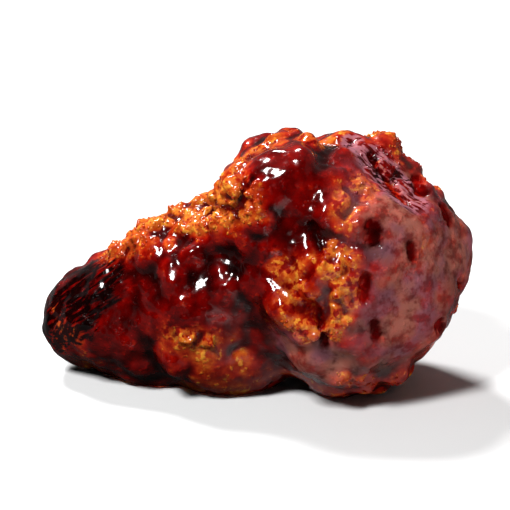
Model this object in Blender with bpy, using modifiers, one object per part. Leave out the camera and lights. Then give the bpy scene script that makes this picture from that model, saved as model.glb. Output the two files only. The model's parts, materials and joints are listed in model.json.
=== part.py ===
"""A fried chicken wing, the drumette cut, breaded and glazed: a craggy head of meat and a tapering shank.

The wing lies on its side on two flat spots. +X runs from the shank to the head, +Z is up, and the origin is
on the surface that the wing lies on, under the middle of its outline.
"""

import math
import random

import bmesh
import bpy
from mathutils import Matrix, Vector, noise

MM = 0.001

# Driving sizes
LENGTH = 83 * MM
HEAD_HEIGHT = 51 * MM
HEAD_DEPTH = 47 * MM


def at(share, side, height):
    """A point by its share of the length, and its sideways shift and height as shares of the head's."""
    return Vector(((share - 0.5) * LENGTH, side * HEAD_DEPTH, height * HEAD_HEIGHT))


# The meat under the breading, as rounded masses: where the middle is, half sizes as shares of the length, the
# head's depth and the head's height, and a nose-up tilt in degrees
MASSES = {
    "bone_knob": (at(0.110, 0.14, 0.245), (0.105, 0.200, 0.205), 0),
    "shank": (at(0.260, 0.09, 0.285), (0.240, 0.260, 0.270), 8),
    "shank_meat": (at(0.430, 0.03, 0.355), (0.225, 0.345, 0.360), 14),
    "neck_ridge": (at(0.300, 0.03, 0.490), (0.120, 0.180, 0.170), 20),
    "head_core": (at(0.700, 0.01, 0.515), (0.270, 0.465, 0.470), 0),
    "head_shoulder": (at(0.555, -0.05, 0.720), (0.145, 0.310, 0.305), -8),
    "head_crown": (at(0.700, 0.05, 0.770), (0.190, 0.300, 0.235), 6),
    "head_end": (at(0.815, -0.02, 0.560), (0.170, 0.360, 0.330), 0),
    "head_belly": (at(0.730, 0.02, 0.235), (0.170, 0.360, 0.245), 0),
}
MASS_SEGMENTS = 32
MASS_RINGS = 20
SEAM_VOXEL = 1.1 * MM
SEAM_SMOOTHING = 12

# Broad faces pressed into the meat: a point on the face, the way it looks, and the share that stays of what lay
# beyond it
PRESSED_FACES = {
    "cut_end": (at(0.900, -0.30, 0.520), Vector((0.80, -0.56, 0.20)), 0.35),
    "front": (at(0.600, -0.44, 0.560), Vector((-0.30, -0.92, 0.26)), 0.40),
    "under_end": (at(0.920, 0.00, 0.120), Vector((0.72, -0.05, -0.69)), 0.35),
}

# Where the breading is craggy and bare of thick glaze: a middle and a reach
CRUST_PATCHES = {
    "neck_top": (at(0.380, -0.12, 0.700), 12 * MM),
    "brow": (at(0.600, 0.10, 1.000), 11 * MM),
    "front_band_top": (at(0.690, -0.42, 0.760), 7 * MM),
    "front_band_middle": (at(0.600, -0.52, 0.470), 7 * MM),
    "front_band_low": (at(0.670, -0.48, 0.200), 9 * MM),
    "crest": (at(0.880, 0.12, 0.860), 9 * MM),
    "toe": (at(0.860, -0.22, 0.060), 9 * MM),
    "back_low": (at(0.480, 0.46, 0.330), 12 * MM),
    "back_high": (at(0.760, 0.48, 0.640), 12 * MM),
    "shank_back": (at(0.140, 0.36, 0.330), 9 * MM),
    "shank_front": (at(0.240, -0.22, 0.140), 7 * MM),
}
# The patches are widened, lowered and broken up by a noise, so that their edges are ragged.
PATCH_GAIN = 2.0
PATCH_LOWERED = 0.35
PATCH_RAGGED = 0.6
RAGGED_SIZE = 7 * MM
RAGGED_SHIFT = Vector((3.1, 7.7, 1.3))

# Hollows where the glaze pools: a middle, a reach and a depth
HOLLOWS = {
    "pool": (at(0.545, -0.40, 0.760), 8 * MM, 2.2 * MM),
    "neck_fold": (at(0.470, -0.34, 0.300), 7 * MM, 1.8 * MM),
    "crown_groove": (at(0.800, -0.10, 0.930), 6 * MM, 2.4 * MM),
    "back_dip": (at(0.620, 0.48, 0.520), 9 * MM, 2.2 * MM),
    "shank_dip": (at(0.300, 0.28, 0.480), 7 * MM, 1.5 * MM),
}

# Broad lumps of the meat, and two sizes of crag on them. A crag is a dome on a cell. Its level is where a dome
# neither rises above the meat nor cuts into it, and a smooth part keeps only a share of its height.
LUMP_SIZE = 16 * MM
LUMP_DEPTH = 2.2 * MM
LUMP_SHIFT = Vector((5.2, 1.7, 9.4))
CRAG_SIZE = 6.0 * MM
CRAG_DEPTH = 3.0 * MM
SMALL_CRAG_SIZE = 3.3 * MM
SMALL_CRAG_DEPTH = 1.2 * MM
CRAG_BEND = 2.0 * MM
CRAG_LEVEL = 0.4
CELL_CURVE = 2.2
SMOOTH_SHARE = 0.22

# How far the finished skin is sunk below the surface it lies on before it is set flat there, and the height
# that is set flat again once its triangles have been reduced
SINK = 2.1 * MM
FLAT_HEIGHT = 0.05 * MM

SKIN_TRIANGLES = 9000
WING_TRIANGLES = 11400

# Crumbs of breading that stand proud of the skin
CRUMB_SIZES = (1.1 * MM, 2.3 * MM)
CRUMB_COUNT = 150
CRUMB_SPACING = 2.6 * MM
CRUMB_SUNK = 0.45
CRUMB_JITTER = 0.22
CRUMB_WIDTHS = (0.7, 1.0)
CRUMB_HEIGHTS = (0.6, 0.9)
CRUMB_FLOOR_GAP = 4 * MM
ROUND_CRUMB = 1.9 * MM
BARE_CRUST_WEIGHT = 0.05
SEED = 11

WING_COLOUR = (0.22, 0.022, 0.008, 1.0)
WING_ROUGHNESS = 0.28


def clear_scene():
    for thing in list(bpy.data.objects):
        bpy.data.objects.remove(thing, do_unlink=True)


def glaze_material():
    material = bpy.data.materials.new("glazed_crust")
    material.use_nodes = True
    shader = material.node_tree.nodes["Principled BSDF"]
    shader.inputs["Base Color"].default_value = WING_COLOUR
    shader.inputs["Roughness"].default_value = WING_ROUGHNESS
    shader.inputs["Metallic"].default_value = 0.0
    return material


def new_object(name, mesh, collection):
    thing = bpy.data.objects.new(name, mesh)
    collection.objects.link(thing)
    return thing


def applied(thing):
    """The object's mesh with its modifiers carried out."""
    graph = bpy.context.evaluated_depsgraph_get()
    return bpy.data.meshes.new_from_object(thing.evaluated_get(graph))


def meat_masses():
    """The rounded masses as one mesh of overlapping spheres, each stretched and tilted to its own size."""
    build = bmesh.new()
    for place, half_sizes, tilt in MASSES.values():
        half_x, half_y, half_z = half_sizes
        stretch = Matrix.Diagonal((half_x * LENGTH, half_y * HEAD_DEPTH, half_z * HEAD_HEIGHT, 1))
        turn = Matrix.Rotation(-math.radians(tilt), 4, "Y")
        matrix = Matrix.Translation(place) @ turn @ stretch
        bmesh.ops.create_uvsphere(
            build, u_segments=MASS_SEGMENTS, v_segments=MASS_RINGS, radius=1, matrix=matrix
        )
    mesh = bpy.data.meshes.new("meat")
    build.to_mesh(mesh)
    build.free()
    return mesh


def fused_meat(collection):
    """One soft skin over the masses: a remesh joins them and a smoothing pass rounds the valleys between."""
    meat = new_object("meat", meat_masses(), collection)
    join = meat.modifiers.new("join", "REMESH")
    join.mode = "VOXEL"
    join.voxel_size = SEAM_VOXEL
    soften = meat.modifiers.new("soften", "SMOOTH")
    soften.iterations = SEAM_SMOOTHING
    mesh = applied(meat)
    bpy.data.objects.remove(meat)
    return mesh


def pressed(point):
    """The point after each broad face has pressed the meat back towards it."""
    for on_face, outward, kept in PRESSED_FACES.values():
        beyond = (point - on_face).dot(outward.normalized())
        if beyond > 0:
            point = point - outward.normalized() * beyond * (1 - kept)
    return point


def nearness(point, middle, reach):
    """1 at the middle, falling smoothly to 0 at twice the reach."""
    share = (point - middle).length / (2 * reach)
    return (1 - share * share) ** 2 if share < 1 else 0.0


def patchiness(point):
    """From 0, where the glaze lies smooth, to 1, where the breading is craggy."""
    patch = max(nearness(point, middle, reach) for middle, reach in CRUST_PATCHES.values())
    ragged = noise.fractal(point / RAGGED_SIZE + RAGGED_SHIFT, 1.0, 2.0, 2)
    return min(1.0, max(0.0, PATCH_GAIN * patch - PATCH_LOWERED + PATCH_RAGGED * ragged))


def rounded_cells(point, size):
    """Domes packed like crumbs: 1 at the middle of each cell, 0 in the crevices between."""
    nearest = noise.voronoi(point / size)[0][0]
    return max(0.0, 1.0 - nearest * nearest * CELL_CURVE)


def crag_height(point):
    """How far the breading stands out from the meat at this point."""
    lump = noise.noise(point / LUMP_SIZE + LUMP_SHIFT) * LUMP_DEPTH
    bent = point + noise.noise_vector(point / CRAG_SIZE) * CRAG_BEND
    rough = SMOOTH_SHARE + (1 - SMOOTH_SHARE) * patchiness(point)
    crag = (rounded_cells(bent, CRAG_SIZE) - CRAG_LEVEL) * CRAG_DEPTH * rough
    small = (rounded_cells(bent, SMALL_CRAG_SIZE) - CRAG_LEVEL) * SMALL_CRAG_DEPTH * rough
    hollow = sum(nearness(point, middle, reach) * depth for middle, reach, depth in HOLLOWS.values())
    return lump + crag + small - hollow


def raise_crags(mesh):
    """Presses the broad faces and pushes the skin out into crags."""
    build = bmesh.new()
    build.from_mesh(mesh)
    for vertex in build.verts:
        vertex.co = pressed(vertex.co)
    build.normal_update()
    moved = [vertex.co + vertex.normal * crag_height(vertex.co) for vertex in build.verts]
    for vertex, place in zip(build.verts, moved):
        vertex.co = place
    build.to_mesh(mesh)
    build.free()


def set_flat_below(mesh, sink):
    """Sinks the mesh into the surface that the wing lies on, and sets flat what would lie below it."""
    for vertex in mesh.vertices:
        vertex.co.z = max(0.0, vertex.co.z - sink)


def centre_outline(mesh):
    """Moves the mesh so that the middle of its outline, seen from above, is over the origin."""
    for axis in (0, 1):
        places = [vertex.co[axis] for vertex in mesh.vertices]
        middle = (min(places) + max(places)) / 2
        for vertex in mesh.vertices:
            vertex.co[axis] -= middle


def reduced(mesh, triangles, collection):
    """The mesh with about this many triangles, the smallest where the surface bends most."""
    thing = new_object("skin", mesh, collection)
    thing.modifiers.new("triangles", "TRIANGULATE")
    fewer = thing.modifiers.new("fewer", "DECIMATE")
    mesh.calc_loop_triangles()
    fewer.ratio = triangles / len(mesh.loop_triangles)
    result = applied(thing)
    bpy.data.objects.remove(thing)
    return result


def crumb_places(mesh):
    """Points on the skin for the crumbs, spaced apart and most of them on the craggy patches."""
    draw = random.Random(SEED)
    faces = [face for face in mesh.polygons if face.center.z > CRUMB_FLOOR_GAP]
    weights = [face.area * (BARE_CRUST_WEIGHT + patchiness(face.center)) for face in faces]
    chosen = []
    while len(chosen) < CRUMB_COUNT:
        face = draw.choices(faces, weights)[0]
        if all((face.center - other.center).length > CRUMB_SPACING for other in chosen):
            chosen.append(face)
    return [(face.center.copy(), face.normal.copy()) for face in chosen]


def make_crumb(place, normal, draw, name, collection):
    """One crumb: a small sphere with its corners pulled about, sunk a little into the skin."""
    radius = draw.uniform(*CRUMB_SIZES)
    build = bmesh.new()
    detail = 2 if radius > ROUND_CRUMB else 1
    bmesh.ops.create_icosphere(build, subdivisions=detail, radius=radius)
    for vertex in build.verts:
        vertex.co *= 1 + draw.uniform(-CRUMB_JITTER, CRUMB_JITTER)
    flatten = Matrix.Diagonal((1.0, draw.uniform(*CRUMB_WIDTHS), draw.uniform(*CRUMB_HEIGHTS), 1))
    spin = Matrix.Rotation(draw.uniform(0, math.tau), 4, "Z")
    stand = normal.to_track_quat("Z", "Y").to_matrix().to_4x4()
    sunk = place - normal * radius * CRUMB_SUNK
    bmesh.ops.transform(build, matrix=Matrix.Translation(sunk) @ stand @ spin @ flatten, verts=build.verts)
    mesh = bpy.data.meshes.new(name)
    build.to_mesh(mesh)
    build.free()
    return new_object(name, mesh, collection)


def join_crumbs(wing, skin):
    """Scatters the crumbs in a collection of their own and joins them to the wing with one Boolean union."""
    crumbs = bpy.data.collections.new("crumbs")
    bpy.context.scene.collection.children.link(crumbs)
    draw = random.Random(SEED + 1)
    for number, (place, normal) in enumerate(crumb_places(skin)):
        make_crumb(place, normal, draw, f"crumb_{number:03d}", crumbs)
    union = wing.modifiers.new("crumbs", "BOOLEAN")
    union.operation = "UNION"
    union.solver = "MANIFOLD"
    union.operand_type = "COLLECTION"
    union.collection = crumbs
    wing.data = applied(wing)
    wing.modifiers.clear()
    for crumb in list(crumbs.objects):
        bpy.data.objects.remove(crumb)
    bpy.data.collections.remove(crumbs)


def make_wing(collection):
    """The one solid of the wing: meat, crags and crumbs joined, and set flat where it lies."""
    noise.seed_set(SEED)
    skin = fused_meat(collection)
    raise_crags(skin)
    set_flat_below(skin, SINK)
    skin = reduced(skin, SKIN_TRIANGLES, collection)
    wing = new_object("wing", skin, collection)
    join_crumbs(wing, skin)
    wing.data = reduced(wing.data, WING_TRIANGLES, collection)
    set_flat_below(wing.data, FLAT_HEIGHT)
    centre_outline(wing.data)
    wing.data.materials.clear()
    wing.data.materials.append(glaze_material())
    wing.data.name = "wing"
    wing.data.shade_smooth()


def main():
    clear_scene()
    collection = bpy.data.collections.new("chicken_wing")
    bpy.context.scene.collection.children.link(collection)
    make_wing(collection)


main()
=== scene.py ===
# %% [markdown]
# A glazed fried chicken wing
#
# This lesson dresses one fried chicken wing, the drumette cut. Its shape, size and place are already
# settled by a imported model, which is loaded first and never moved. What is made here is what the eye
# takes for food: a coat of craggy breading, loose crumbs, and a wet dark red glaze that lies thick in the
# hollows and thin on the crags. Lengths are in metres. The wing lies along X, from its shank to its thick
# head, and Z is up.

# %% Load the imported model
import json
import math
import random

import bmesh
import bpy
import numpy as np
from mathutils import Matrix, Vector, noise
from mathutils.bvhtree import BVHTree

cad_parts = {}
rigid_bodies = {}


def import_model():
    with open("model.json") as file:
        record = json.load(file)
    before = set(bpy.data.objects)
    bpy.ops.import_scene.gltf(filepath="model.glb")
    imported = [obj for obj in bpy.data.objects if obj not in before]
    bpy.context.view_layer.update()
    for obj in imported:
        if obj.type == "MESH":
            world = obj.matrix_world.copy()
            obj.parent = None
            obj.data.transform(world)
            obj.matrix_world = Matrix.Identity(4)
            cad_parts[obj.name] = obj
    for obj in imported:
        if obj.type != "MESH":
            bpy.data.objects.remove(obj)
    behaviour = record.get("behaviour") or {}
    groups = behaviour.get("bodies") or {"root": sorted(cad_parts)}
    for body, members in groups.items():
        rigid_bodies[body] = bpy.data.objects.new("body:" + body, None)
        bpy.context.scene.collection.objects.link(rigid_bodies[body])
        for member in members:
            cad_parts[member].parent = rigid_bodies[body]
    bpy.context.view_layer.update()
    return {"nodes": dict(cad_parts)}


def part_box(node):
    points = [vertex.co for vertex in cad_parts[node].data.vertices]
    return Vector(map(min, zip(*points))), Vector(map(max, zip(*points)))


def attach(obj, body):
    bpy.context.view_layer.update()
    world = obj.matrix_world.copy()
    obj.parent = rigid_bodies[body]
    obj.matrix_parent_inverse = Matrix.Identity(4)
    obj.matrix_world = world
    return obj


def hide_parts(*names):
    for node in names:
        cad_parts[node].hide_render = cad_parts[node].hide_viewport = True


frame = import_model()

MM = 0.001
wing_low, wing_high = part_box("wing")
wing_size = wing_high - wing_low
print("the wing measures", [round(side / MM, 1) for side in wing_size], "mm")

# %% [markdown]
# Blender's node trees can be written as sums. This small class wraps a socket, and each operator adds the
# Math node that works it out, so `1 - mask * 0.5` builds two nodes. A second class adds any other node by
# its type, its settings and its sockets. Both are used for shapes as well as for finishes.

# %% Sockets that can be added and multiplied
def find_socket(sockets, key):
    """A socket in use, by its place in the list, its identifier or its name."""
    used = [socket for socket in sockets if socket.enabled]
    if isinstance(key, int):
        return used[key]
    return next(socket for socket in used if key in (socket.identifier, socket.name))


class Number:
    """A node's output that can stand in a sum."""

    def __init__(self, maker, output):
        self.maker = maker
        self.output = output

    def of(self, key):
        """Another output of the same node."""
        return Number(self.maker, find_socket(self.output.node.outputs, key))

    def maths(self, operation, *values):
        return self.maker.add("ShaderNodeMath", {"operation": operation}, dict(enumerate(values)))

    def __add__(self, other):
        return self.maths("ADD", self, other)

    def __radd__(self, other):
        return self.maths("ADD", other, self)

    def __sub__(self, other):
        return self.maths("SUBTRACT", self, other)

    def __rsub__(self, other):
        return self.maths("SUBTRACT", other, self)

    def __mul__(self, other):
        return self.maths("MULTIPLY", self, other)

    def __rmul__(self, other):
        return self.maths("MULTIPLY", other, self)

    def __truediv__(self, other):
        return self.maths("DIVIDE", self, other)

    def __rtruediv__(self, other):
        return self.maths("DIVIDE", other, self)

    def between(self, lowest, highest):
        return self.maths("MINIMUM", self.maths("MAXIMUM", self, lowest), highest)

    def rising(self, start, end):
        """From 0 at start to 1 at end, without corners."""
        sockets = {"Value": self, "From Min": start, "From Max": end}
        return self.maker.add("ShaderNodeMapRange", {"interpolation_type": "SMOOTHSTEP"}, sockets)


class NodeMaker:
    """Adds nodes to one tree."""

    def __init__(self, tree):
        self.tree = tree

    def add(self, kind, settings, sockets, output=0):
        """Adds a node: first its settings, then its sockets' values or links. Gives one output."""
        node = self.tree.nodes.new(kind)
        for name, value in settings.items():
            if name == "captures":
                for label, sort in value.items():
                    node.capture_items.new(sort, label)
            else:
                setattr(node, name, value)
        for key, value in sockets.items():
            for source in value if isinstance(value, list) else [value]:
                self.fill(find_socket(node.inputs, key), source)
        if not node.outputs:
            return None
        return Number(self, find_socket(node.outputs, output))

    def fill(self, socket, value):
        if isinstance(value, Number):
            self.tree.links.new(value.output, socket)
        else:
            socket.default_value = value

    def vector(self, operation, *values):
        return self.add("ShaderNodeVectorMath", {"operation": operation}, dict(enumerate(values)))

    def noise(self, place, size, detail=2.0, roughness=0.5, output="Fac"):
        """Cloudy noise from 0 to 1, 0.5 on the whole, with lumps of about this size."""
        sockets = {"Vector": place, "Scale": 1 / size, "Detail": detail, "Roughness": roughness}
        return self.add("ShaderNodeTexNoise", {}, sockets, output)


print("sums of sockets are ready")

# %% [markdown]
# A Geometry Nodes tree is a recipe with named inputs. These helpers start one, paint and read numbers on
# the mesh inside it, and end it: copies become real mesh, and all of it takes the coat's material.

# %% Helpers for writing recipes
COAT = bpy.data.materials.new("crust and glaze")


def new_recipe(name, inputs):
    """A new tree with these named inputs, as a maker of its nodes and its input node."""
    tree = bpy.data.node_groups.new(name, "GeometryNodeTree")
    tree.interface.new_socket("Geometry", in_out="INPUT", socket_type="NodeSocketGeometry")
    for label, kind in inputs.items():
        tree.interface.new_socket(label, in_out="INPUT", socket_type="NodeSocket" + kind)
    tree.interface.new_socket("Geometry", in_out="OUTPUT", socket_type="NodeSocketGeometry")
    maker = NodeMaker(tree)
    return maker, maker.add("NodeGroupInput", {}, {})


def named(maker, attribute):
    """A number painted on the mesh."""
    return maker.add("GeometryNodeInputNamedAttribute", {"data_type": "FLOAT"}, {"Name": attribute})


def stored(maker, geometry, attribute, value):
    """The geometry with a number painted on it."""
    sockets = {"Geometry": geometry, "Name": attribute, "Value": value}
    return maker.add("GeometryNodeStoreNamedAttribute", {"data_type": "FLOAT"}, sockets)


def captured(maker, geometry, fields):
    """The geometry, which keeps each of these vectors or numbers as it is at this point of the recipe."""
    sorts = {label: sort for label, (sort, value) in fields.items()}
    values = {label: value for label, (sort, value) in fields.items()}
    return maker.add("GeometryNodeCaptureAttribute", {"captures": sorts}, {"Geometry": geometry, **values})


def blurred(maker, value, rounds, weight=1.0):
    sockets = {"Value": value, "Iterations": rounds, "Weight": weight}
    return maker.add("GeometryNodeBlurAttribute", {"data_type": "FLOAT_VECTOR"}, sockets)


def moved(maker, geometry, sockets):
    return maker.add("GeometryNodeSetPosition", {}, {"Geometry": geometry, **sockets})


def end_recipe(maker, geometry):
    real = maker.add("GeometryNodeRealizeInstances", {}, {"Geometry": geometry})
    coated = maker.add("GeometryNodeSetMaterial", {}, {"Geometry": real, "Material": COAT})
    maker.add("NodeGroupOutput", {}, {"Geometry": coated})
    return maker


print("recipes can be written")

# %% [markdown]
# A recipe works on an object as a modifier. Its inputs are filled in by their identifiers before it is
# first worked out. The outcome is then kept as a plain mesh, because the finished wing must not depend on
# its modifiers.

# %% Helpers for carrying recipes out
def new_thing(name, mesh):
    thing = bpy.data.objects.new(name, mesh)
    bpy.context.scene.collection.objects.link(thing)
    return thing


def settled(thing):
    """Carries out the object's modifiers for good."""
    graph = bpy.context.evaluated_depsgraph_get()
    mesh = bpy.data.meshes.new_from_object(thing.evaluated_get(graph))
    thing.modifiers.clear()
    thing.data = mesh
    return thing


def follow_recipe(thing, maker, values):
    """Gives the object the recipe as a modifier, with its inputs filled in, and carries it out."""
    modifier = thing.modifiers.new(maker.tree.name, "NODES")
    modifier.node_group = maker.tree
    for socket in maker.tree.interface.items_tree:
        if socket.in_out == "INPUT" and socket.name in values:
            modifier[socket.identifier] = values[socket.name]
    return settled(thing)


def triangles_of(thing):
    thing.data.calc_loop_triangles()
    return len(thing.data.loop_triangles)


print("recipes can be followed")

# %% [markdown]
# Under the breading is the meat, with the largest crags of the crust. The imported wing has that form, as a
# faceted solid of loose triangles. It could be subdivided, but long thin triangles stay long and thin. So
# a copy of it is welded, remeshed into small even squares and smoothed. Every later step moves corners,
# and they can only show what is larger than a square.

# %% Make the meat
GRAIN = 0.43 * MM
MEAT_SMOOTHING = 10
WELD = 0.001 * MM


def welded_copy(node, name):
    build = bmesh.new()
    build.from_mesh(frame["nodes"][node].data)
    bmesh.ops.remove_doubles(build, verts=build.verts, dist=WELD)
    mesh = bpy.data.meshes.new(name)
    build.to_mesh(mesh)
    build.free()
    return mesh


def remeshed(thing, smoothing):
    squares = thing.modifiers.new("squares", "REMESH")
    squares.mode = "VOXEL"
    squares.voxel_size = GRAIN
    soften = thing.modifiers.new("soften", "SMOOTH")
    soften.iterations = smoothing
    return settled(thing)


wing = remeshed(new_thing("glazed_wing", welded_copy("wing", "meat")), MEAT_SMOOTHING)
print("the meat has", triangles_of(wing), "triangles")

# %% [markdown]
# No two spots on a real wing have the same coat. There are eight coats here: bare crags of crust, heaped
# crumbs, thin glaze, pools of deep glaze, pits, char, the dull sheen of the thick end, and torn skin.
# Noise alone would put them anywhere, so each spot is a stroke of one coat, as if it were brushed on: its
# reach, and then points in millimetres to the right of the wing's middle and up, as a viewer sees them.
# These are the strokes on the shown side.

# %% Strokes on the shown side
STROKES_SEEN = {}
STROKES_SEEN[0] = {
    "bare": {
        "neck crumbs": (4.2, (-27, 25), (-20, 28), (-13, 31), (-5, 33.5), (0, 36)),
        "neck crumbs, low": (2.4, (-10, 29), (-5, 30.5), (0, 31.5)),
        "rim of the head": (1.3, (-4, 39), (-1, 43), (4, 47.5)),
        "brow": (1.0, (7, 48), (12, 47.5)),
        "band, top": (2.3, (17.5, 34), (21, 38)),
        "band, side": (2.2, (15, 25), (17, 18), (13.5, 10)),
        "band, low": (1.5, (6.5, 11), (12, 8.5)),
        "crest": (1.6, (26, 43.5), (34, 41)),
        "nodules": (2.0, (17, 1.5), (21, 0), (27, 0)),
        "spot in the fold": (1.3, (-1.5, 15.5), (-1, 15)),
        "shank's belly": (1.4, (-14, 9), (-10, 8)),
    },
    "heaped": {
        "neck crumbs, heaped": (3.6, (-25, 26), (-18, 30), (-11, 32.5), (-3, 35.5)),
        "neck crumbs, low and heaped": (2.2, (-10, 29), (-5, 30.5), (0, 31.5)),
    },
    "thin": {
        "rim of the head, glazed": (1.6, (-4, 38), (0, 43), (4.5, 47.5)),
        "brow, glazed": (1.3, (8, 46.5), (16, 46)),
        "band, top, glazed": (3.0, (17.5, 33.5), (22.5, 38)),
        "band, core": (2.9, (4.5, 23), (7, 17)),
        "band, side, glazed": (2.6, (15, 25), (17, 18), (11, 10)),
        "belly, glazed": (1.4, (-16, 10), (-8, 8)),
        "flecks on the thick end": (1.5, (29, 21), (32, 26)),
    },
    "pool": {
        "front of the shank": (6.8, (-25, 17.5), (-14, 19.5), (-4, 19)),
        "under the neck": (3.6, (-12, 23), (-2, 25), (7, 29)),
        "left of the head": (4.5, (2, 40), (8, 33)),
        "top of the head": (4.0, (10, 41), (20, 42)),
        "thick end": (6.5, (26, 32), (29, 20), (27, 8)),
        "end of the head": (6.0, (37, 30), (37, 15)),
        # the pool under the head is partly painted shade: its deep glaze colour darkens the underside
        "under the head": (4.5, (6, 7), (14, 4), (20, 3)),
        "over the nodules": (2.2, (20, 0), (27, 0)),
        "over the crest": (3.0, (26, 43.5), (34, 41)),
        "low on the shank": (4.5, (-28, 8), (-20, 4)),
    },
    "pit": {
        "upper pit": (1.4, (21.7, 29.5), (22.0, 27)),
        "middle pit": (1.1, (20.4, 20), (20.2, 16.5)),
        "right pit": (0.9, (28.7, 26), (29, 24)),
        "low pit": (1.1, (22.2, 11.5), (22.8, 9.5)),
        "high pit": (1.3, (30.8, 38.5), (31.5, 36.5)),
        "far pit": (1.2, (35.7, 33), (36.2, 31)),
        "last pit": (1.2, (34.5, 11.5), (35.5, 9.5)),
        "dark seam": (0.8, (11, 30), (12, 24), (9.5, 20)),
        "dark seam, low": (0.8, (8, 17), (11.5, 14), (13, 8)),
        "groove": (0.9, (22, 43), (26, 37), (28, 34)),
    },
    "char": {
        "shank's end": (4.0, (-40, 12), (-36, 16), (-30, 19)),
        # this stroke of char is partly painted shade, darkening the underside of the shank's end
        "below the shank's end": (2.2, (-38, 8), (-33, 11)),
    },
    # the dull coat is rough, and its colour takes a painted sheen in the finish
    "dull": {
        "thick end, dull": (8.0, (27, 33), (32, 22), (28, 13)),
        "under the head, dull": (4.0, (8, 7), (15, 4)),
    },
    # the strands of torn skin take a painted sheen in the finish
    "torn": {
        "torn skin, start": (1.5, (18.5, 45.5), (22, 42)),
        "torn skin, middle": (2.8, (22.5, 41.5), (28.5, 35)),
    },
}
print("strokes on the shown side:", sum(len(strokes) for strokes in STROKES_SEEN[0].values()))

# %% [markdown]
# The viewer then walks round the wing: 90 degrees is the thick end, 180 the back and 270 the thin end.
# These sides carry the same coats in other places, so that the wing looks like one piece of food from
# anywhere.

# %% Strokes on the ends and the back
STROKES_SEEN[90] = {
    "bare": {
        "cap of the end": (3.0, (-4, 34), (5, 33)),
        "side of the end": (2.6, (13, 22), (14, 12)),
        "low fleck on the end": (1.5, (-7, 4), (-4, 3)),
    },
    "thin": {
        "fleck on the end": (2.0, (3, 16), (7, 13)),
        "side of the end, glazed": (3.4, (12, 24), (15, 10)),
    },
    "pool": {"middle of the end": (7.0, (-6, 16), (4, 6))},
    "pit": {
        "end pit": (0.9, (-1, 20), (0, 18)),
        "end seam": (0.8, (8, 24), (10, 18), (9, 10)),
        "low end pit": (0.8, (-9, 9), (-8, 8)),
    },
    "dull": {"thick end, turned": (7.0, (-8, 16), (4, 12))},
}
STROKES_SEEN[180] = {
    "bare": {
        "back of the neck": (4.0, (24, 20), (12, 25), (4, 31)),
        "back of the head": (5.0, (-10, 38), (-18, 30), (-16, 20)),
        "back of the head, low": (3.5, (-26, 12), (-30, 20)),
        "back crest": (3.0, (-24, 42), (-32, 38)),
        "back belly": (2.2, (20, 8), (10, 5)),
    },
    "thin": {
        "back of the head, glazed": (4.5, (-14, 34), (-20, 14)),
        "back belly, glazed": (3.5, (22, 8), (8, 5)),
    },
    "pool": {
        "back of the shank": (6.5, (30, 14), (16, 15), (6, 15)),
        "back fold": (5.0, (0, 24), (-2, 14)),
        "back of the head, high": (5.5, (-6, 42), (-30, 30)),
        "back of the head, far": (6.0, (-36, 24), (-34, 10)),
        "low on the back": (5.0, (-10, 8), (-20, 5)),
    },
    "pit": {
        "back seam": (0.8, (-6, 34), (-9, 26), (-8, 18)),
        "back pit": (1.0, (-24, 24), (-24.5, 22)),
        "back pit, far": (0.8, (-31, 28), (-32, 26)),
        "back pit, low": (0.8, (14, 20), (13, 18)),
    },
}
STROKES_SEEN[270] = {
    "char": {"tip of the shank": (3.4, (-3, 2), (3, 4))},
    "pool": {
        "round the tip": (5.0, (-8, 4), (0, 8), (8, 4)),
        "below the tip": (4.0, (-9, 1), (-4, -4)),
    },
}
print("strokes in all:", sum(len(strokes) for coats in STROKES_SEEN.values() for strokes in coats.values()))

# %% [markdown]
# A ray from the viewer through each point of a stroke finds the skin there, as a pencil would that is
# pushed straight forward. Strokes given this way stay where they belong however the skin bulges.

# %% Find the strokes on the skin
VIEW_ELEVATION = 20
VIEW_RISE = math.radians(VIEW_ELEVATION)
VIEWER_DISTANCE = 0.3
STROKE_STEP = 1.0 * MM


def skin_finder(thing):
    """Gives a function that finds the skin which a viewer at this turn sees, so far to the right and up."""
    tree = BVHTree.FromObject(thing, bpy.context.evaluated_depsgraph_get())

    def find(turn, right, up):
        to_viewer = Vector((0, -math.cos(VIEW_RISE), math.sin(VIEW_RISE)))
        upwards = Vector((0, math.sin(VIEW_RISE), math.cos(VIEW_RISE)))
        walk = Matrix.Rotation(math.radians(turn), 3, "Z")
        place = walk @ (Vector((right, 0, 0)) + upwards * up) * MM
        hit = tree.ray_cast(place + walk @ to_viewer * VIEWER_DISTANCE, walk @ -to_viewer)[0]
        return hit or tree.find_nearest(place)[0]

    return find


def stroke_on_skin(find, turn, stroke):
    """The stroke's reach and the points of the skin that it runs through."""
    reach, *marks = stroke
    points = []
    for start, end in zip(marks, marks[1:]):
        steps = max(1, round(math.dist(start, end) * MM / STROKE_STEP))
        for step in range(steps + 1):
            share = step / steps
            right = start[0] + (end[0] - start[0]) * share
            up = start[1] + (end[1] - start[1]) * share
            points.append(find(turn, right, up))
    return reach * MM, np.array(points)


find_skin = skin_finder(wing)
STROKES = {}
for turn, coats in STROKES_SEEN.items():
    for coat, strokes in coats.items():
        found = [stroke_on_skin(find_skin, turn, stroke) for stroke in strokes.values()]
        STROKES.setdefault(coat, []).extend(found)
print({coat: sum(len(points) for reach, points in strokes) for coat, strokes in STROKES.items()}, "points")

# %% [markdown]
# The strokes are painted on the mesh as numbers from 0 to 1, one for each corner and each coat. A number
# is 1 along the stroke and fades to 0 at twice its reach. The recipes below read these numbers, and make
# the edges ragged.

# %% Paint the strokes
FADED_AT = 2


def corner_places(mesh):
    places = np.empty(len(mesh.vertices) * 3, np.float32)
    mesh.vertices.foreach_get("co", places)
    return places.reshape(-1, 3)


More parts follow.
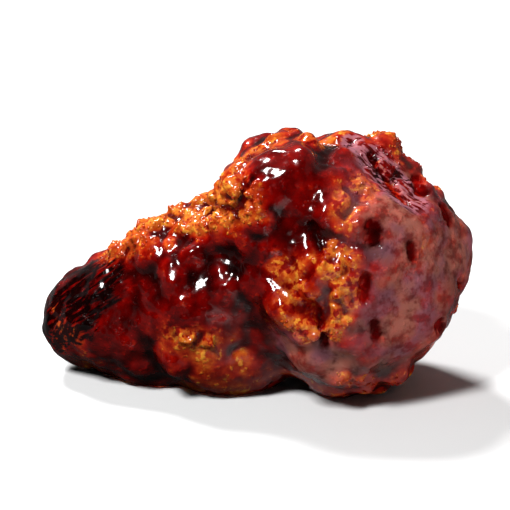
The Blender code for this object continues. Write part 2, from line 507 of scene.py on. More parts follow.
def spread(places, strokes):
    strongest = np.zeros(len(places))
    for reach, points in strokes:
        fade = FADED_AT * reach
        near = np.all((places > points.min(0) - fade) & (places < points.max(0) + fade), axis=1)
        gap = np.full(int(near.sum()), np.inf)
        for point in points:
            gap = np.minimum(gap, ((places[near] - point) ** 2).sum(1))
        share = np.clip(1 - gap / fade ** 2, 0, 1) ** 2
        strongest[near] = np.maximum(strongest[near], share)
    return strongest


def paint(thing):
    places = corner_places(thing.data)
    for coat, strokes in STROKES.items():
        layer = thing.data.attributes.get(coat) or thing.data.attributes.new(coat, "FLOAT", "POINT")
        layer.data.foreach_set("value", spread(places, strokes).astype(np.float32))


paint(wing)
print("painted", len(wing.data.vertices), "corners with", len(STROKES), "coats")

# %% [markdown]
# Fried breading is a crust of broken lumps with crevices winding between them. Cells of two sizes give
# the lumps: they sink towards their edges, and a strong noise bends them, so that no two are alike. Where
# the crust is bare the lumps stand high, and under a sheet of glaze they are nearly flat. Charred and
# torn skin shows fibres instead, which are a noise drawn out along one direction.

# %% Lumps and fibres
RAGGED_SIZE = 3.5 * MM
RAGGED = 2.0
ROUGH_WHERE_BARE = 1.3
ROUGH_WHERE_POOLED = -0.75
ROUGH_ANYWHERE = 0.12
LEAST_ROUGH = 0.04
LUMP_EDGE = 0.26
LOWEST_LUMP = 0.4
FIBRE_STRETCH = (0.13, 1.0, 1.0)
FIBRE_SIZE = 0.8 * MM


def roughness_of_crust(maker, place):
    """From near 0, where the crust is flat, to 1, where it stands in crags."""
    ragged = (maker.noise(place, RAGGED_SIZE, detail=3.0) - 0.5) * RAGGED + ROUGH_ANYWHERE
    rough = ragged + named(maker, "bare") * ROUGH_WHERE_BARE + named(maker, "pool") * ROUGH_WHERE_POOLED
    return rough.between(LEAST_ROUGH, 1.0)


def lumps(maker, place, size):
    """Lumps parted by crevices: 0 in a crevice, and near 1 on a lump, each lump to a height of its own."""
    cell = {"Vector": place, "Scale": 1 / size}
    edge = maker.add("ShaderNodeTexVoronoi", {"feature": "DISTANCE_TO_EDGE"}, cell)
    tone = maker.add("ShaderNodeTexVoronoi", {"feature": "F1"}, cell, "Color")
    own_height = maker.add("ShaderNodeSeparateXYZ", {}, {"Vector": tone}) * (1 - LOWEST_LUMP) + LOWEST_LUMP
    return edge.rising(0.0, LUMP_EDGE) * own_height


def fibrous(maker, place, lean):
    """Noise drawn out into fibres that rise to the right by this angle."""
    turn = {"Vector": place, "Axis": (0.0, 1.0, 0.0), "Angle": lean}
    leaning = maker.add("ShaderNodeVectorRotate", {"rotation_type": "AXIS_ANGLE"}, turn)
    return maker.noise(maker.vector("MULTIPLY", leaning, FIBRE_STRETCH), FIBRE_SIZE, detail=2.0)


print("lumps", LUMP_EDGE, "of a cell wide at the edge, fibres", FIBRE_SIZE / MM, "mm wide")

# %% [markdown]
# The breading could be sculpted by hand, or pushed out by the shader. A hand can't be run again, and what
# a shader pushes out is lost when the mesh is used elsewhere. So the recipe moves the skin's own corners
# outwards. Large lumps carry small ones, heaped crumbs are lifted together, and a finer noise shakes
# every corner sideways too, because real crags overhang.

# %% Recipe: lumps of breading
BEND_SIZE = 2.8 * MM
BEND = 4.0 * MM
LUMP_LEVEL = 0.55
SHIVER_SIZE = 1.3 * MM
SHIVER = 0.55 * MM
BARE_SWELL = 0.4 * MM
HEAP_SWELL = 1.5 * MM
HEAP_COARSER = 0.6
FIBRE_DEPTH = 1.6 * MM
CHAR_LEAN = math.radians(32)
TORN_LEAN = math.radians(-48)


def lump_recipe():
    inputs = {"Lump size": "Float", "Lump height": "Float", "Grain size": "Float", "Grain height": "Float"}
    maker, given = new_recipe("lumps of breading", inputs)
    place = maker.add("GeometryNodeInputPosition", {}, {})
    normal = maker.add("GeometryNodeInputNormal", {}, {})
    cloud = maker.noise(place, BEND_SIZE, detail=3.0, output="Color")
    bent = maker.vector("MULTIPLY_ADD", cloud, (BEND, BEND, BEND), place)
    large = (lumps(maker, bent, given.of("Lump size")) - LUMP_LEVEL) * given.of("Lump height")
    small = (lumps(maker, bent, given.of("Grain size")) - LUMP_LEVEL) * given.of("Grain height")
    rough = roughness_of_crust(maker, place)
    fibres = (fibrous(maker, place, CHAR_LEAN) - 0.5) * named(maker, "char")
    fibres = fibres + (fibrous(maker, place, TORN_LEAN) - 0.5) * named(maker, "torn")
    swell = named(maker, "bare") * BARE_SWELL + named(maker, "heaped") * HEAP_SWELL
    coarse = rough + named(maker, "heaped") * HEAP_COARSER
    raised = (large + small) * coarse + swell + fibres * FIBRE_DEPTH
    shiver = maker.noise(place, SHIVER_SIZE, detail=3.0, output="Color")
    shiver = maker.vector("SUBTRACT", shiver, (0.5, 0.5, 0.5))
    shaken = maker.vector("SCALE", shiver, rough * (SHIVER * 2))
    offset = maker.vector("ADD", maker.vector("SCALE", normal, raised), shaken)
    return end_recipe(maker, moved(maker, given, {"Offset": offset}))


lump_values = {"Lump size": 3.4 * MM, "Lump height": 1.35 * MM}
lump_values.update({"Grain size": 1.7 * MM, "Grain height": 0.5 * MM})
follow_recipe(wing, lump_recipe(), lump_values)
print("lumps raised on", triangles_of(wing), "triangles")

# %% [markdown]
# Crumbs are what makes breading look fried: lumps that stand proud with shadow round them. A few lumpy
# shapes are made once by pushing the corners of a ball in and out, in a fine kind for crumbs and a plain
# one of few faces for the finest grains, of which there are thousands.

# %% Make a few shapes of crumb
SEED = 7
CRUMB_SHAPES = 6
CRUMB_LUMPS = 1.2
CRUMB_UNEVEN = 0.9
CRUMB_WIDTH = (0.65, 1.0)
CRUMB_HEIGHT = (0.5, 0.85)
NOISE_REACH = 50


def crumb_shape(name, fineness, draw):
    build = bmesh.new()
    bmesh.ops.create_icosphere(build, subdivisions=fineness, radius=1.0)
    shift = Vector([draw.uniform(0, NOISE_REACH) for axis in range(3)])
    for corner in build.verts:
        corner.co *= 1 + CRUMB_UNEVEN * noise.noise(corner.co * CRUMB_LUMPS + shift)
    flatten = Matrix.Diagonal((1.0, draw.uniform(*CRUMB_WIDTH), draw.uniform(*CRUMB_HEIGHT)))
    bmesh.ops.transform(build, matrix=flatten.to_4x4(), verts=build.verts)
    mesh = bpy.data.meshes.new(name)
    build.to_mesh(mesh)
    build.free()
    return bpy.data.objects.new(name, mesh)


def shapes_of(name, fineness):
    draw = random.Random(SEED)
    shapes = bpy.data.collections.new(name)
    for number in range(CRUMB_SHAPES):
        shapes.objects.link(crumb_shape(f"{name}_{number}", fineness, draw))
    return shapes


crumb_shapes = shapes_of("crumb", 2)
grain_shapes = shapes_of("grain", 1)

# %% [markdown]
# Crumbs stick where the batter was sticky, which looks like chance, but they never lie inside each other.
# Points drawn freely would clump, so these keep a spacing. A shape is set on each point, turned and sized
# at random from a fixed seed, with many more small ones than large. Two recipes below share this part:
# one for crumbs and one for the finest grains.

# %% Scattering
SCATTER_INPUTS = {"Shapes": "Collection", "Seed": "Int"}
SCATTER_INPUTS.update({"Spacing": "Float", "Smallest": "Float", "Largest": "Float"})
SIZE_SEED = 3
LEANING = 0.5


def chance(maker, lowest, highest, seed):
    """A number drawn at random for each point."""
    sockets = {"Min": lowest, "Max": highest, "Seed": seed}
    return maker.add("FunctionNodeRandomValue", {"data_type": "FLOAT"}, sockets)


def points_on_skin(maker, given, density):
    """Points on the skin, no two closer than the spacing."""
    spacing = given.of("Spacing")
    thickest = 1 / (spacing * spacing)
    sockets = {"Mesh": given, "Distance Min": spacing, "Density Max": thickest, "Density Factor": density}
    sockets["Seed"] = given.of("Seed")
    return maker.add("GeometryNodeDistributePointsOnFaces", {"distribute_method": "POISSON"}, sockets)


def shapes_on(maker, given, points, rotation):
    """Sets a shape on each point, turned and sized at random."""
    turn = {"Min": (0.0, 0.0, 0.0), "Max": (LEANING, LEANING, math.tau), "Seed": given.of("Seed")}
    drawn = maker.add("FunctionNodeRandomValue", {"data_type": "FLOAT_VECTOR"}, turn)
    turned = maker.add(
        "FunctionNodeRotateRotation",
        {"rotation_space": "LOCAL"},
        {"Rotation": rotation, "Rotate By": maker.add("FunctionNodeEulerToRotation", {}, {"Euler": drawn})},
    )
    share = chance(maker, 0.0, 1.0, SIZE_SEED)
    size = given.of("Smallest") + share * share * share * (given.of("Largest") - given.of("Smallest"))
    all_shapes = {"Collection": given.of("Shapes"), "Separate Children": True}
    sockets = {"Points": points, "Instance": maker.add("GeometryNodeCollectionInfo", {}, all_shapes)}
    sockets.update({"Pick Instance": True, "Rotation": turned, "Scale": size})
    return maker.add("GeometryNodeInstanceOnPoints", {}, sockets)


print("shapes can be scattered")

# %% [markdown]
# The crumbs lie thickly where the crust is bare and thinly under the glaze. Shapes that only lay on the
# skin would show a sharp line round their foot, and glaze can't run from one mesh to another. So skin and
# crumbs are joined, and a second remesh fuses them into one closed skin, as frying does.

# %% Recipe: crumbs fused with the skin
CRUMBS_FROM_ROUGHNESS = 0.25
CRUMBS_FULL_AT = 0.9
FUSED_SMOOTHING = 1


def crumb_recipe():
    maker, given = new_recipe("scattered crumbs", SCATTER_INPUTS)
    rough = roughness_of_crust(maker, maker.add("GeometryNodeInputPosition", {}, {}))
    points = points_on_skin(maker, given, rough.rising(CRUMBS_FROM_ROUGHNESS, CRUMBS_FULL_AT))
    crumbs = shapes_on(maker, given, points, points.of("Rotation"))
    return end_recipe(maker, maker.add("GeometryNodeJoinGeometry", {}, {"Geometry": [given, crumbs]}))


crumb_values = {"Shapes": crumb_shapes, "Seed": SEED}
crumb_values.update({"Spacing": 3.6 * MM, "Smallest": 0.5 * MM, "Largest": 1.6 * MM})
paint(wing)
follow_recipe(wing, crumb_recipe(), crumb_values)
print("skin and crumbs have", triangles_of(wing), "triangles")
remeshed(wing, FUSED_SMOOTHING)
print("fused, they have", triangles_of(wing), "triangles")

# %% [markdown]
# Glaze is a thick liquid. It leaves a thin film on the crags and fills the crevices up to a level of its
# own, and where there is plenty it runs together into a smooth sheet. How much of it a spot has follows
# the strokes, and a slow noise makes it patchy, as a tossed wing is never coated evenly. Pits are small
# ragged holes in the sheet, where a bubble has burst.

# %% How much glaze there is
SHEET_NOISE = 5.0 * MM
PATCHY = 2.0
PLENTY_ANYWHERE = 0.62
PLENTY_WHERE = {"pool": 1.0, "bare": -1.1, "heaped": 0.35, "thin": -0.9, "torn": -1.2}
PIT_RAGGED = 1.6 * MM
PIT_RAGGEDNESS = 2.0
PIT_EDGE = (0.22, 0.65)


def plenty_of_glaze(maker, place):
    """From 0, where there is only a film, to 1, where the glaze lies in a sheet."""
    plenty = (maker.noise(place, SHEET_NOISE, detail=2.0) - 0.5) * PATCHY + PLENTY_ANYWHERE
    for coat, change in PLENTY_WHERE.items():
        plenty = plenty + named(maker, coat) * change
    return plenty.between(0.0, 1.0)


def ragged_pits(maker, place):
    ragged = maker.noise(place, PIT_RAGGED, detail=2.0) * PIT_RAGGEDNESS
    return (named(maker, "pit") * ragged).rising(*PIT_EDGE)


print("glaze keeps to", PLENTY_WHERE)

# %% [markdown]
# The glaze could be a second, clear skin over the crust, but two skins a tenth of a millimetre apart are
# hard to keep from crossing. One skin does, if it knows how deep its glaze is. The recipe blurs the crust
# to find the level, because that is where a liquid would settle. Each corner is lifted to the film or to
# the level, whichever is higher, and the sheet is then calmed and given slow ripples and pits. The depth
# of the glaze is kept for each corner, in millimetres, because the colour comes from it. In the pits a
# made-up extra depth is kept as well, which darkens them as painted shade.

# %% Recipe: pour the glaze
MEETING = 0.25 * MM
COVER_FROM = 0.15 * MM
COVER_FULL = 0.60 * MM
CALMING = 14
RIPPLE_SIZE = 3.3 * MM
RIPPLE = 1.2 * MM
PIT_DEPTH = 0.7 * MM
PIT_PAINTED_SHADE = 0.95


def glaze_recipe():
    inputs = {"Blur": "Int", "Lowest level": "Float", "Highest level": "Float"}
    inputs.update({"Thin film": "Float", "Thick film": "Float"})
    maker, given = new_recipe("poured glaze", inputs)
    place = maker.add("GeometryNodeInputPosition", {}, {})
    normal = maker.add("GeometryNodeInputNormal", {}, {})
    settling = blurred(maker, place, given.of("Blur"))
    crust = captured(maker, given, {"Crust": ("VECTOR", place), "Settled": ("VECTOR", settling)})
    level_skin = moved(maker, crust, {"Position": crust.of("Settled")})
    outward = captured(maker, level_skin, {"Outward": ("VECTOR", normal)})
    raised = maker.vector("SUBTRACT", crust.of("Crust"), crust.of("Settled"))
    height = maker.vector("DOT_PRODUCT", raised, outward.of("Outward"))
    plenty = plenty_of_glaze(maker, crust.of("Settled"))
    level = given.of("Lowest level") + plenty * (given.of("Highest level") - given.of("Lowest level"))
    film = given.of("Thin film") + plenty * plenty * (given.of("Thick film") - given.of("Thin film"))
    lift = height.maths("SMOOTH_MAX", height + film, level, MEETING) - height
    top = maker.vector("ADD", crust.of("Crust"), maker.vector("SCALE", outward.of("Outward"), lift))
    poured = moved(maker, outward, {"Position": top})
    poured = captured(maker, poured, {"Covered": ("FLOAT", lift.rising(COVER_FROM, COVER_FULL))})
    calm = moved(maker, poured, {"Position": blurred(maker, place, CALMING, poured.of("Covered"))})
    ripple = (maker.noise(place, RIPPLE_SIZE, detail=1.0) - 0.5) * RIPPLE * poured.of("Covered")
    pit = ragged_pits(maker, place)
    uneven = maker.vector("SCALE", outward.of("Outward"), ripple - pit * PIT_DEPTH)
    rippled = moved(maker, calm, {"Offset": uneven})
    over_crust = maker.vector("SUBTRACT", place, crust.of("Crust"))
    depth = maker.vector("DOT_PRODUCT", over_crust, outward.of("Outward"))
    # painted shade: in the pits the kept depth is made deeper than the glaze there, so that they come out
    # dark
    kept = stored(maker, rippled, "glaze", depth / MM + pit * PIT_PAINTED_SHADE)
    kept = stored(maker, kept, "relief", height / MM)
    return end_recipe(maker, stored(maker, kept, "pit", pit))


glaze_values = {"Blur": 60, "Lowest level": -0.15 * MM, "Highest level": 0.50 * MM}
glaze_values.update({"Thin film": 0.10 * MM, "Thick film": 0.80 * MM})
paint(wing)
follow_recipe(wing, glaze_recipe(), glaze_values)
depths = np.empty(len(wing.data.vertices), np.float32)
wing.data.attributes["glaze"].data.foreach_get("value", depths)
print("glaze depth in mm at 5, 50 and 95 %:", np.percentile(depths, (5, 50, 95)).round(2))

# %% [markdown]
# The finest crumbs are too small for the skin's squares, so they are a piece of their own: grains of a
# few faces each, scattered on the bare crust after the glaze is poured. Each grain keeps the numbers
# painted on the skin below it, and takes a thin film of glaze whose depth is drawn at random, so that
# some grains are amber and some red.

# %% Recipe: grains on the bare crust
GRAINS_NONE_AT = 0.55
GRAINS_FULL_BELOW = 0.10
GRAINS_BARE_EDGE = (0.05, 0.6)
GRAINS_LOST_WHERE_THIN = 0.8
GRAINS_LOST_WHERE_HEAPED = 0.5
GRAIN_FILM = (0.06, 0.26)
FILM_SEED = 5


def grain_recipe():
    maker, given = new_recipe("scattered grains", SCATTER_INPUTS)
    dry = named(maker, "glaze").rising(GRAINS_NONE_AT, GRAINS_FULL_BELOW)
    lost = named(maker, "thin") * GRAINS_LOST_WHERE_THIN
    lost = lost + named(maker, "heaped") * GRAINS_LOST_WHERE_HEAPED
    bare = (named(maker, "bare") - lost).rising(*GRAINS_BARE_EDGE)
    points = points_on_skin(maker, given, dry * bare)
    filmed = stored(maker, points, "glaze", chance(maker, *GRAIN_FILM, FILM_SEED))
    return end_recipe(maker, shapes_on(maker, given, filmed, points.of("Rotation")))


grain_values = {"Shapes": grain_shapes, "Seed": SEED}
grain_values.update({"Spacing": 0.65 * MM, "Smallest": 0.22 * MM, "Largest": 0.55 * MM})
grains = follow_recipe(new_thing("crumb_grains", wing.data), grain_recipe(), grain_values)
print("grains have", triangles_of(grains), "triangles")

# %% [markdown]
# The wing lies on two flat spots. What the breading and the glaze would push below the surface is set
# flat again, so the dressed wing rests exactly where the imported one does.

# %% Set the underside flat
def set_flat_below(thing):
    places = corner_places(thing.data)
    places[:, 2] = np.maximum(places[:, 2], wing_low.z)
    thing.data.vertices.foreach_set("co", places.ravel())
    thing.data.update()


for piece in (wing, grains):
    set_flat_below(piece)
    piece.data.shade_smooth()
print("lowest point", round(min(corner_places(wing.data)[:, 2]) / MM, 3), "mm")

# %% [markdown]
# The finish follows the depth of the glaze. Light passes through the glaze to the crust and back, and
# each millimetre takes away most of the blue and green and some of the red. That is why thin glaze looks
# amber, deeper glaze red and the pools nearly black. So the colour is the crust's own, faded channel by
# channel. The depth is made uneven first: streaks, flecks of crust that come near the top, and veins of
# glaze that run over thin spots.

# %% Colour: crust under glaze
CRUST_PALE = (0.86, 0.40, 0.037, 1)
CRUST_BROWN = (0.56, 0.146, 0.011, 1)
CREVICE_PAINTED_SHADE = (0.17, 0.014, 0.003, 1)
CHAR_BLACK = (0.030, 0.006, 0.004, 1)
GLAZE_TAKES = {"Red": 2.05, "Green": 8.5, "Blue": 7.0}
LEAST_DEPTH = 0.03
MOST_DEPTH = 2.0
BROWN_SIZE = 1.8 * MM
BROWN_EDGE = (0.38, 0.62)
CREVICE_EDGE = (0.15, -0.40)
CHAR_SHARE = 1.35
CHAR_CONTRAST = 7.0
CHAR_EDGE = (0.0, 0.25)
STREAK = 0.30
STREAK_SIZE = 1.4 * MM
FLECK = 0.26
VEIN = 0.4
VEIN_SIZE = 1.7 * MM
VEIN_EDGE = (0.50, 0.62)
THIN_EDGE = (0.1, 0.6)
TORN_GAP = 0.6
POOL_DEEPER = 0.18


def painted(maker, name):
    return maker.add("ShaderNodeAttribute", {"attribute_name": name}, {}, "Fac")


def mix(maker, share, first, second):
    return maker.add("ShaderNodeMix", {"data_type": "RGBA"}, {"Factor": share, "A": first, "B": second})


def through_glaze(maker, colour, depth):
    """The crust's colour, each channel faded by the glaze that the light passes through."""
    channels = maker.add("ShaderNodeSeparateColor", {}, {"Color": colour})
    faded = {}
    for name, takes in GLAZE_TAKES.items():
        faded[name] = channels.of(name) * depth.maths("EXPONENT", depth * -takes)
    return maker.add("ShaderNodeCombineColor", {}, faded)


def crust_colour(maker, place):
    """Golden and brown crust, with painted shade darkening its crevices, and black where it is charred,
    fibre by fibre.
    """
    browned = maker.noise(place, BROWN_SIZE, detail=4.0, roughness=0.65)
    golden = mix(maker, browned.rising(*BROWN_EDGE), CRUST_BROWN, CRUST_PALE)
    # painted shade: where the crust lies low in a crevice, its colour is darkened
    crust = mix(maker, painted(maker, "relief").rising(*CREVICE_EDGE), golden, CREVICE_PAINTED_SHADE)
    char = painted(maker, "char")
    black_fibres = (0.5 - fibrous(maker, place, CHAR_LEAN)) * CHAR_CONTRAST
    charred = (char * CHAR_SHARE + black_fibres).between(0.0, 1.0) * char.rising(*CHAR_EDGE)
    return mix(maker, charred, crust, CHAR_BLACK)


def uneven_depth(maker, place, flecks, torn_gaps):
    """The depth of the glaze in millimetres, as the eye sees it."""
    streaks = (maker.noise(place, STREAK_SIZE, detail=3.0) - 0.5) * STREAK
    veins = maker.noise(place, VEIN_SIZE, detail=2.0).rising(*VEIN_EDGE)
    veins = veins * painted(maker, "thin").rising(*THIN_EDGE)
    pools = painted(maker, "pool") * (1 - painted(maker, "dull")) * POOL_DEEPER
    depth = painted(maker, "glaze") + pools + streaks + torn_gaps * TORN_GAP
    return (depth - flecks * FLECK + veins * VEIN).between(LEAST_DEPTH, MOST_DEPTH)


let_through = {name: round(math.exp(-takes), 4) for name, takes in GLAZE_TAKES.items()}
print("a millimetre of glaze lets through", let_through)

# %% [markdown]
# The thick end is not wet: its coat is thin and rough. Its colour is mixed towards a painted sheen, in
# clouds that are pinkish in some places and purplish in others, which stands in for the pale floor's
# reflection, and the fibres of torn skin take the same painted sheen. Everything else is wet: a clear coat
# lies over the crust, which is strongest where the glaze is deep, and is left out in the pits. A little
# light goes into the coat and spreads there, which softens the small crags.

# %% Finish: crust and glaze
SHEEN_PAINTED_WARM = (0.50, 0.180, 0.130, 1)
SHEEN_PAINTED_COOL = (0.37, 0.140, 0.175, 1)
SHEEN_PAINTED_ON_DULL = 0.58
SHEEN_PAINTED_ON_TORN = 0.82
CLOUD_SIZE = 2.6 * MM
CLOUD_EDGE = (0.36, 0.60)
LEAST_CLOUD = 0.25
TINT_SIZE = 6.0 * MM
TINT_EDGE = (0.42, 0.62)
TORN_EDGE = (0.0, 0.4)
TORN_COOLER = 0.3
STRAND_EDGE = (0.43, 0.54)
FLECK_SIZE = 1.2 * MM
FLECK_EDGE = (0.54, 0.70)
WET_EDGE = (0.08, 0.40)
WET_WHERE_THIN = 0.6
GRAIN_BUMP_SIZE = 0.40 * MM
WAVE_BUMP_SIZE = 1.5 * MM
GRAIN_BUMP = 0.09
WAVE_BUMP = 0.05
FLECK_BUMP = 0.10
BUMP_LOST_WHERE_WET = 0.8
BUMP_MORE_WHERE_DULL = 0.5
ROUGH_DRY = 0.34
SMOOTHER_WHERE_WET = 0.14
ROUGHER_WHERE_DULL = 0.12
COAT_DRY = 0.65
COAT_LOST_WHERE_DULL = 0.8
GLAZE_IOR = 1.47


# painted sheen: how far the colour is mixed towards a pale pinkish-purple that stands in for a reflection,
# on the dull coat and the torn strands
def painted_sheen_share(maker, place, dull, torn, strands):
    clouds = maker.noise(place, CLOUD_SIZE, detail=3.0, roughness=0.6).rising(*CLOUD_EDGE)
    clouds = clouds * (1 - LEAST_CLOUD) + LEAST_CLOUD
    share = dull * clouds * (1 - torn) * SHEEN_PAINTED_ON_DULL + torn * strands * SHEEN_PAINTED_ON_TORN
    return share * (1 - painted(maker, "pit"))


def finish_crust_and_glaze(material):
    material.use_nodes = True
    material.node_tree.nodes.clear()
    maker = NodeMaker(material.node_tree)
    place = maker.add("ShaderNodeTexCoord", {}, {}, "Object")
    dull = painted(maker, "dull")
    torn = painted(maker, "torn").rising(*TORN_EDGE)
    strands = fibrous(maker, place, TORN_LEAN).rising(*STRAND_EDGE)
    flecks = maker.noise(place, FLECK_SIZE, detail=2.0).rising(*FLECK_EDGE)
    depth = uneven_depth(maker, place, flecks, torn * (1 - strands))
    colour = through_glaze(maker, crust_colour(maker, place), depth)
    cool = (maker.noise(place, TINT_SIZE, detail=2.0) + torn * TORN_COOLER).rising(*TINT_EDGE)
    painted_sheen_colour = mix(maker, cool, SHEEN_PAINTED_WARM, SHEEN_PAINTED_COOL)
    # painted sheen over the thick end and the torn strands
    colour = mix(maker, painted_sheen_share(maker, place, dull, torn, strands), colour, painted_sheen_colour)
    wet = painted(maker, "glaze").rising(*WET_EDGE) + painted(maker, "thin") * WET_WHERE_THIN
    wet = wet.between(0.0, 1.0)
    grainy = maker.noise(place, GRAIN_BUMP_SIZE, detail=3.0, roughness=0.6) * GRAIN_BUMP
    wavy = maker.noise(place, WAVE_BUMP_SIZE, detail=3.0) * WAVE_BUMP
    grainy = grainy * (1 - wet * BUMP_LOST_WHERE_WET + dull * BUMP_MORE_WHERE_DULL)
    bumps = grainy + wavy * wet + flecks * FLECK_BUMP
    coat = (COAT_DRY + wet * (1 - COAT_DRY)) * (1 - dull * COAT_LOST_WHERE_DULL)
    sockets = {
        "Base Color": colour,
        "Roughness": ROUGH_DRY - wet * SMOOTHER_WHERE_WET + dull * ROUGHER_WHERE_DULL,
        "Normal": maker.add("ShaderNodeBump", {}, {"Height": bumps, "Strength": 1.0, "Distance": MM}),
        "IOR": GLAZE_IOR,
        "Specular IOR Level": 0.03,
        "Coat Weight": coat * (1 - painted(maker, "pit")),
        "Coat Roughness": 0.10,
        "Coat IOR": GLAZE_IOR,
        "Subsurface Weight": 0.15,
        "Subsurface Radius": (1.0, 0.35, 0.15),
        "Subsurface Scale": 0.8 * MM,
    }
    shader = maker.add("ShaderNodeBsdfPrincipled", {}, sockets)
    maker.add("ShaderNodeOutputMaterial", {}, {"Surface": shader})


finish_crust_and_glaze(COAT)
print("finish:", COAT.name, "with", len(COAT.node_tree.nodes), "nodes")

# %% [markdown]
# The stage is a plain pale floor and a ring of the same tone behind it, so that a low camera sees no dark
# sky. The ring could be part of the floor, but it would then throw light on the wing from every side. So
# only the camera sees it.

# %% Floor and backdrop
FLOOR_HALF = 3.0
FLOOR_PALE = (0.86, 0.86, 0.86, 1)
BACKDROP_RADIUS = 2.9
BACKDROP_HEIGHT = 5.0
BACKDROP_SIDES = 96
BACKDROP_PALE = (0.90, 0.90, 0.90, 1)
MATT = 0.9


def flat_square(name, half, colour):
    build = bmesh.new()
    bmesh.ops.create_grid(build, x_segments=1, y_segments=1, size=half)
    mesh = bpy.data.meshes.new(name)
    build.to_mesh(mesh)
    build.free()
    material = bpy.data.materials.new(name)
    material.use_nodes = True
    material.node_tree.nodes["Principled BSDF"].inputs["Base Color"].default_value = colour
    material.node_tree.nodes["Principled BSDF"].inputs["Roughness"].default_value = MATT
    mesh.materials.append(material)
    return new_thing(name, mesh)


def pale_backdrop():
    """A pale ring round the floor, which only the camera sees, so that it leaves the light alone."""
    build = bmesh.new()
    radii = {"radius1": BACKDROP_RADIUS, "radius2": BACKDROP_RADIUS}
    bmesh.ops.create_cone(build, segments=BACKDROP_SIDES, depth=BACKDROP_HEIGHT, **radii)
    mesh = bpy.data.meshes.new("backdrop")
    build.to_mesh(mesh)
    build.free()
    material = bpy.data.materials.new("backdrop")
    material.use_nodes = True
    material.node_tree.nodes.clear()
    maker = NodeMaker(material.node_tree)
    glow = maker.add("ShaderNodeEmission", {}, {"Color": BACKDROP_PALE, "Strength": 1.0})
    maker.add("ShaderNodeOutputMaterial", {}, {"Surface": glow})
    mesh.materials.append(material)
    ring = new_thing("backdrop", mesh)
    for seen_by in ("diffuse", "glossy", "transmission", "volume_scatter", "shadow"):
        setattr(ring, "visible_" + seen_by, False)
    return ring


floor = flat_square("floor", FLOOR_HALF, FLOOR_PALE)
backdrop = pale_backdrop()
print("staged a floor and a backdrop")

# %% [markdown]
# Glaze is a mirror, so it needs something dark to reflect as well as something bright: in a studio, dark
# cards stand round the food for that. One stands on the viewer's side and one on the left. Three lie on
# the floor, because the pale floor would else lay a grey veil over the glaze: left, right and behind. The
# strip of floor between a near card and the horizon is what a mirror would show as a thin bright thread,
# and the card behind closes it. The right one and that one are left out of everything but reflections,
# as the floor's light has to reach the thick end and the back. Edges fade out, so that no reflection ends
# in a hard line. The camera sees no card, and none throws a shadow.

# %% Dark cards
CARD_DARK = (0.02, 0.02, 0.02, 1)
CARD_LIFT = 0.5 * MM
middle = (wing_low + wing_high) / 2


def aimed(thing, azimuth, elevation, distance):
    """Stands a thing off from the wing, turned to face it. Azimuth 0 is the viewer's side, 90 the right."""
    turn, rise = math.radians(azimuth), math.radians(elevation)
    away = Vector((math.sin(turn) * math.cos(rise), -math.cos(turn) * math.cos(rise), math.sin(rise)))
    thing.location = middle + away * distance
    thing.rotation_euler = away.to_track_quat("Z", "Y").to_euler()


def dark_card(name, half, soft_edge):
    card = flat_square(name, half, CARD_DARK)
    card.visible_camera = False
    card.visible_shadow = False
    nodes = card.data.materials[0].node_tree.nodes
    maker = NodeMaker(card.data.materials[0].node_tree)
    place = maker.add("ShaderNodeTexCoord", {}, {}, "Object")
    sides = maker.add("ShaderNodeSeparateXYZ", {}, {"Vector": place})
    across = sides.maths("ABSOLUTE", sides).rising(half, half - soft_edge)
    along = sides.maths("ABSOLUTE", sides.of("Y")).rising(half, half - soft_edge)
    clear = maker.add("ShaderNodeBsdfTransparent", {}, {})
    dark = Number(maker, nodes["Principled BSDF"].outputs[0])
    faded = maker.add("ShaderNodeMixShader", {}, {0: across * along, 1: clear, 2: dark})
    maker.tree.links.new(faded.output, nodes["Material Output"].inputs["Surface"])
    return card


def lying_card(name, half, soft_edge, place, layer):
    """A card on the floor. Each has a layer of its own, so that no two share a height."""
    card = dark_card(name, half, soft_edge)
    card.location = (*place, CARD_LIFT * layer)
    return card


front_card = dark_card("dark_card", half=0.66, soft_edge=0.14)
aimed(front_card, azimuth=0, elevation=35, distance=0.75)
side_card = dark_card("side_dark_card", half=0.45, soft_edge=0.14)
aimed(side_card, azimuth=-80, elevation=25, distance=0.65)
low_card = lying_card("low_dark_card", half=0.60, soft_edge=0.06, place=(-0.555, -0.38), layer=1)
right_card = lying_card("right_dark_card", half=0.60, soft_edge=0.06, place=(0.60, -0.38), layer=2)
far_card = lying_card("far_dark_card", half=0.85, soft_edge=0.10, place=(0.02, 0.95), layer=3)
right_card.visible_diffuse = False
far_card.visible_diffuse = False
print("staged five dark cards")

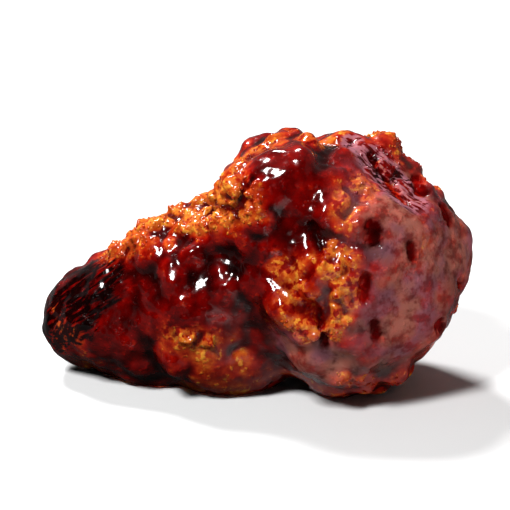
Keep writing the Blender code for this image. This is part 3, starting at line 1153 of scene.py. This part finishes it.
# %% [markdown]
# A small bright softbox stands high on the left, for the crisp highlights. A far light from behind on the
# left, as wide in the sky as a window, whitens the whole floor and draws the upper edge of the wing. The
# pale sky only fills in. The camera looks at the wing's side from a little above, with a long lens.

# %% Light and camera
WORLD_LIGHT = 0.12
KEY_POWER = 4.2
FAR_STRENGTH = 3.85
FAR_WIDTH = math.radians(14)
CAMERA_LENS = 180
CAMERA_SENSOR = 36
WING_SHARE_OF_PICTURE = 0.84


def lamp(name, kind, settings, azimuth, elevation, distance):
    light = bpy.data.lights.new(name, kind)
    for setting, value in settings.items():
        setattr(light, setting, value)
    thing = bpy.data.objects.new(name, light)
    bpy.context.scene.collection.objects.link(thing)
    aimed(thing, azimuth, elevation, distance)


key_settings = {"shape": "RECTANGLE", "size": 0.12, "size_y": 0.16, "energy": KEY_POWER}
lamp("key", "AREA", key_settings, azimuth=-38, elevation=50, distance=0.60)
far_settings = {"angle": FAR_WIDTH, "energy": FAR_STRENGTH}
lamp("far light", "SUN", far_settings, azimuth=-148, elevation=54, distance=0.95)
world = bpy.data.worlds.new("pale sky")
world.use_nodes = True
sky_light = world.node_tree.nodes["Background"].inputs["Color"]
sky_light.default_value = (WORLD_LIGHT, WORLD_LIGHT, WORLD_LIGHT, 1)
bpy.context.scene.world = world
bpy.context.scene.view_settings.view_transform = "Standard"

camera_data = bpy.data.cameras.new("camera")
camera_data.lens = CAMERA_LENS
camera_data.sensor_width = CAMERA_SENSOR
camera = bpy.data.objects.new("camera", camera_data)
bpy.context.scene.collection.objects.link(camera)
camera_distance = wing_size.x / WING_SHARE_OF_PICTURE * CAMERA_LENS / CAMERA_SENSOR
aimed(camera, azimuth=0, elevation=VIEW_ELEVATION, distance=camera_distance)
bpy.context.scene.camera = camera
print("camera", round(camera.location.length, 3), "m away")

# %% [markdown]
# Last, the dressed wing takes the imported one's place and its body, and the shapes of crumb are cleared
# away.

# %% Hand over
for shapes in (crumb_shapes, grain_shapes):
    for shape in list(shapes.objects):
        bpy.data.objects.remove(shape)
    bpy.data.collections.remove(shapes)
for piece in (wing, grains):
    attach(piece, "root")
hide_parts("wing")
